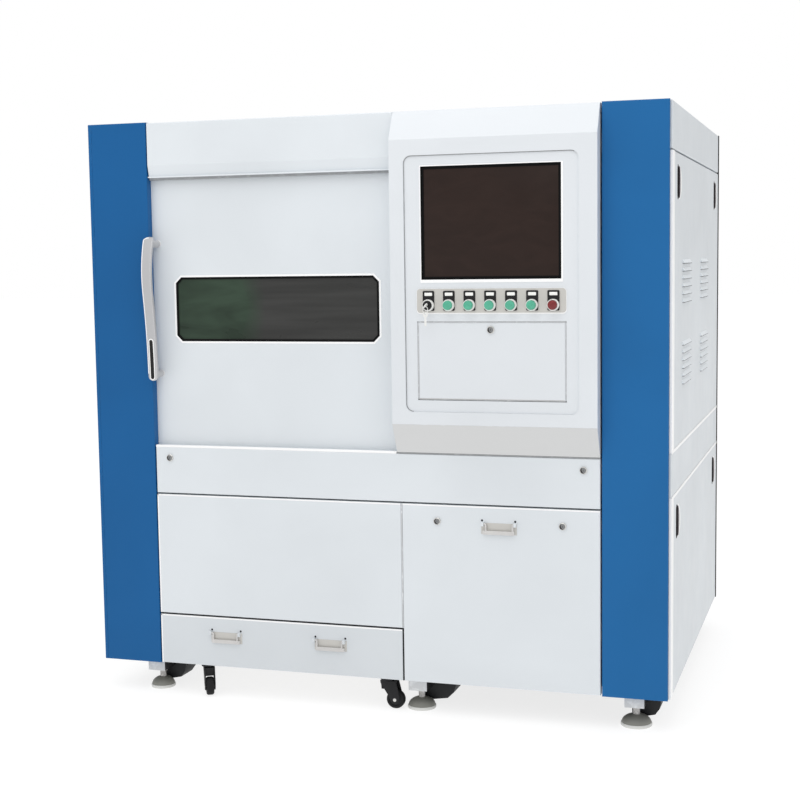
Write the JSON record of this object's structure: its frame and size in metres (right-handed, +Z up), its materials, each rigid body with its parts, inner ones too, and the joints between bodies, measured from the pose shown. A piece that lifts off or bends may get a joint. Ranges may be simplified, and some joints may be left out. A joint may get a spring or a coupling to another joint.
{
  "type": "fiber laser cutting machine",
  "caption": "Enclosed fiber laser cutting machine with a sliding windowed door, sloped control console, scrap drawer on casters, lift-off covers and an XYZ gantry inside.",
  "frame": {"origin": "on the floor under the middle of the outer box", "axes": "+X to the operator's right, +Y from the operator to the back, +Z up"},
  "size_m": [1.582, 1.304, 1.565],
  "materials": {
    "white_paint": "fine powder coat",
    "side_paint": "fine powder coat",
    "blue_paint": "satin powder coat",
    "black_paint": "matt black coat",
    "console_paint": "fine powder coat",
    "strip_paint": "satin grey coat",
    "steel": "zinc plated",
    "chrome": "bright",
    "aluminium": "satin anodised",
    "black_plastic": "fine matt",
    "screen": "dark glass front",
    "pane": "laser-safe green tint",
    "green": "translucent green",
    "red": "translucent red",
    "rubber": "grey black tread",
    "bed_paint": "grey machine coat"
  },
  "bodies": {
    "cabinet": {"frame": "black_paint", "levelling_feet": "steel", "left_column": "blue_paint", "right_column": "blue_paint", "header_panel": "white_paint", "console_housing": "console_paint", "monitor": "screen", "switch_strip": "strip_paint", "legend_plates": "black_plastic", "switch_rings": "chrome", "lower_left_panel": "white_paint", "side_strips": "side_paint", "roof_panel": "side_paint", "rear_panels": "side_paint", "exhaust_spigot": "steel", "door_tracks": "aluminium", "partition_wall": "side_paint", "machine_bed": "bed_paint", "slat_table": "steel", "scrap_chute": "steel", "laser_source": "black_paint", "electric_cabinet": "strip_paint"},
    "door": {"sliding_door": "white_paint", "door_window": "pane", "door_handle": "aluminium", "door_shoes": "black_plastic"},
    "flap": {"keyboard_flap": "console_paint", "keyboard": "black_plastic"},
    "flap_lock": {"flap_lock": "chrome"},
    "band": {"band_cover": "white_paint"},
    "band_lock_left": {"band_lock_left": "chrome"},
    "band_lock_right": {"band_lock_right": "chrome"},
    "service_panel": {"service_panel": "white_paint"},
    "service_lock_left": {"service_lock_left": "chrome"},
    "service_lock_right": {"service_lock_right": "chrome"},
    "service_handle": {"service_handle": "chrome"},
    "drawer": {"drawer_front": "white_paint", "drawer_tray": "steel"},
    "drawer_handle_left": {"drawer_handle_left": "chrome"},
    "drawer_handle_right": {"drawer_handle_right": "chrome"},
    "rear_axle": {"rear_axle": "rubber"},
    "caster_fork_left": {"caster_fork_left": "black_paint"},
    "caster_wheel_left": {"caster_wheel_left": "rubber"},
    "caster_fork_right": {"caster_fork_right": "black_paint"},
    "caster_wheel_right": {"caster_wheel_right": "rubber"},
    "key_switch": {"key_switch": "chrome"},
    "right_upper_cover": {"right_upper_cover": "side_paint"},
    "right_lower_cover": {"right_lower_cover": "side_paint"},
    "left_upper_cover": {"left_upper_cover": "side_paint"},
    "left_lower_cover": {"left_lower_cover": "side_paint"},
    "gantry": {"gantry_beam": "aluminium"},
    "carriage": {"cross_carriage": "aluminium"},
    "head": {"cutting_head": "aluminium"},
    "green_button_1": {"green_button_1": "green"},
    "green_button_2": {"green_button_2": "green"},
    "green_button_3": {"green_button_3": "green"},
    "green_button_4": {"green_button_4": "green"},
    "green_button_5": {"green_button_5": "green"},
    "red_button": {"red_button": "red"}
  },
  "joints": [
    {"name": "door_slide", "type": "slide", "parent": "cabinet", "child": "door", "axis": [1, 0, 0], "range_m": [0, 0.52]},
    {"name": "flap_hinge", "type": "hinge", "parent": "cabinet", "child": "flap", "pos_m": [0.3425, -0.607, 0.841], "axis": [1, 0, 0], "range_deg": [0, 90]},
    {"name": "flap_lock_turn", "type": "hinge", "parent": "flap", "child": "flap_lock", "pos_m": [0.3425, -0.612, 1.012], "axis": [0, -1, 0], "range_deg": [0, 90]},
    {"name": "band_lift", "type": "slide", "parent": "cabinet", "child": "band", "axis": [0, -1, 0], "range_m": [0, 0.2]},
    {"name": "band_lock_left_turn", "type": "hinge", "parent": "band", "child": "band_lock_left", "pos_m": [-0.569, -0.578, 0.66], "axis": [0, -1, 0], "range_deg": [0, 90]},
    {"name": "band_lock_right_turn", "type": "hinge", "parent": "band", "child": "band_lock_right", "pos_m": [0.569, -0.578, 0.66], "axis": [0, 1, 0], "range_deg": [0, 90]},
    {"name": "service_lift", "type": "slide", "parent": "cabinet", "child": "service_panel", "axis": [0, -1, 0], "range_m": [0, 0.3]},
    {"name": "service_lock_left_turn", "type": "hinge", "parent": "service_panel", "child": "service_lock_left", "pos_m": [0.188, -0.578, 0.516], "axis": [0, -1, 0], "range_deg": [0, 90]},
    {"name": "service_lock_right_turn", "type": "hinge", "parent": "service_panel", "child": "service_lock_right", "pos_m": [0.516, -0.578, 0.516], "axis": [0, 1, 0], "range_deg": [0, 90]},
    {"name": "service_handle_swing", "type": "hinge", "parent": "service_panel", "child": "service_handle", "pos_m": [0.352, -0.583, 0.515], "axis": [-1, 0, 0], "range_deg": [0, 90]},
    {"name": "drawer_slide", "type": "slide", "parent": "cabinet", "child": "drawer", "axis": [0, -1, 0], "range_m": [0, 0.65]},
    {"name": "drawer_handle_left_swing", "type": "hinge", "parent": "drawer", "child": "drawer_handle_left", "pos_m": [-0.41729, -0.583, 0.181], "axis": [-1, 0, 0], "range_deg": [0, 90]},
    {"name": "drawer_handle_right_swing", "type": "hinge", "parent": "drawer", "child": "drawer_handle_right", "pos_m": [-0.11527, -0.583, 0.181], "axis": [-1, 0, 0], "range_deg": [0, 90]},
    {"name": "rear_axle_spin", "type": "hinge", "parent": "drawer", "child": "rear_axle", "pos_m": [-0.2595, 0.122, 0.0255], "axis": [1, 0, 0], "continuous": true},
    {"name": "caster_left_swivel", "type": "hinge", "parent": "drawer", "child": "caster_fork_left", "pos_m": [-0.487, -0.542, 0.082], "axis": [0, 0, 1], "continuous": true},
    {"name": "caster_left_spin", "type": "hinge", "parent": "caster_fork_left", "child": "caster_wheel_left", "pos_m": [-0.476, -0.56105, 0.0255], "axis": [0.866, 0.5, 0], "continuous": true},
    {"name": "caster_right_swivel", "type": "hinge", "parent": "drawer", "child": "caster_fork_right", "pos_m": [0.036, -0.542, 0.082], "axis": [0, 0, 1], "continuous": true},
    {"name": "caster_right_spin", "type": "hinge", "parent": "caster_fork_right", "child": "caster_wheel_right", "pos_m": [0.058, -0.542, 0.0255], "axis": [0, 1, 0], "continuous": true},
    {"name": "key_turn", "type": "hinge", "parent": "cabinet", "child": "key_switch", "pos_m": [0.1826, -0.628, 1.074], "axis": [0, 1, 0], "range_deg": [0, 90]},
    {"name": "right_upper_lift", "type": "slide", "parent": "cabinet", "child": "right_upper_cover", "axis": [1, 0, 0], "range_m": [0, 0.25]},
    {"name": "right_lower_lift", "type": "slide", "parent": "cabinet", "child": "right_lower_cover", "axis": [1, 0, 0], "range_m": [0, 0.25]},
    {"name": "left_upper_lift", "type": "slide", "parent": "cabinet", "child": "left_upper_cover", "axis": [-1, 0, 0], "range_m": [0, 0.25]},
    {"name": "left_lower_lift", "type": "slide", "parent": "cabinet", "child": "left_lower_cover", "axis": [-1, 0, 0], "range_m": [0, 0.25]},
    {"name": "gantry_travel", "type": "slide", "parent": "cabinet", "child": "gantry", "axis": [0, 1, 0], "range_m": [-0.5, 0]},
    {"name": "carriage_travel", "type": "slide", "parent": "gantry", "child": "carriage", "axis": [1, 0, 0], "range_m": [-0.23, 0.23]},
    {"name": "head_travel", "type": "slide", "parent": "carriage", "child": "head", "axis": [0, 0, 1], "range_m": [-0.02, 0.06]},
    {"name": "green_button_1_press", "type": "slide", "parent": "cabinet", "child": "green_button_1", "axis": [0, 1, 0], "range_m": [0, 0.004], "stiffness_N_per_m": 500},
    {"name": "green_button_2_press", "type": "slide", "parent": "cabinet", "child": "green_button_2", "axis": [0, 1, 0], "range_m": [0, 0.004], "stiffness_N_per_m": 500},
    {"name": "green_button_3_press", "type": "slide", "parent": "cabinet", "child": "green_button_3", "axis": [0, 1, 0], "range_m": [0, 0.004], "stiffness_N_per_m": 500},
    {"name": "green_button_4_press", "type": "slide", "parent": "cabinet", "child": "green_button_4", "axis": [0, 1, 0], "range_m": [0, 0.004], "stiffness_N_per_m": 500},
    {"name": "green_button_5_press", "type": "slide", "parent": "cabinet", "child": "green_button_5", "axis": [0, 1, 0], "range_m": [0, 0.004], "stiffness_N_per_m": 500},
    {"name": "red_button_press", "type": "slide", "parent": "cabinet", "child": "red_button", "axis": [0, 1, 0], "range_m": [0, 0.004], "stiffness_N_per_m": 500}
  ]
}
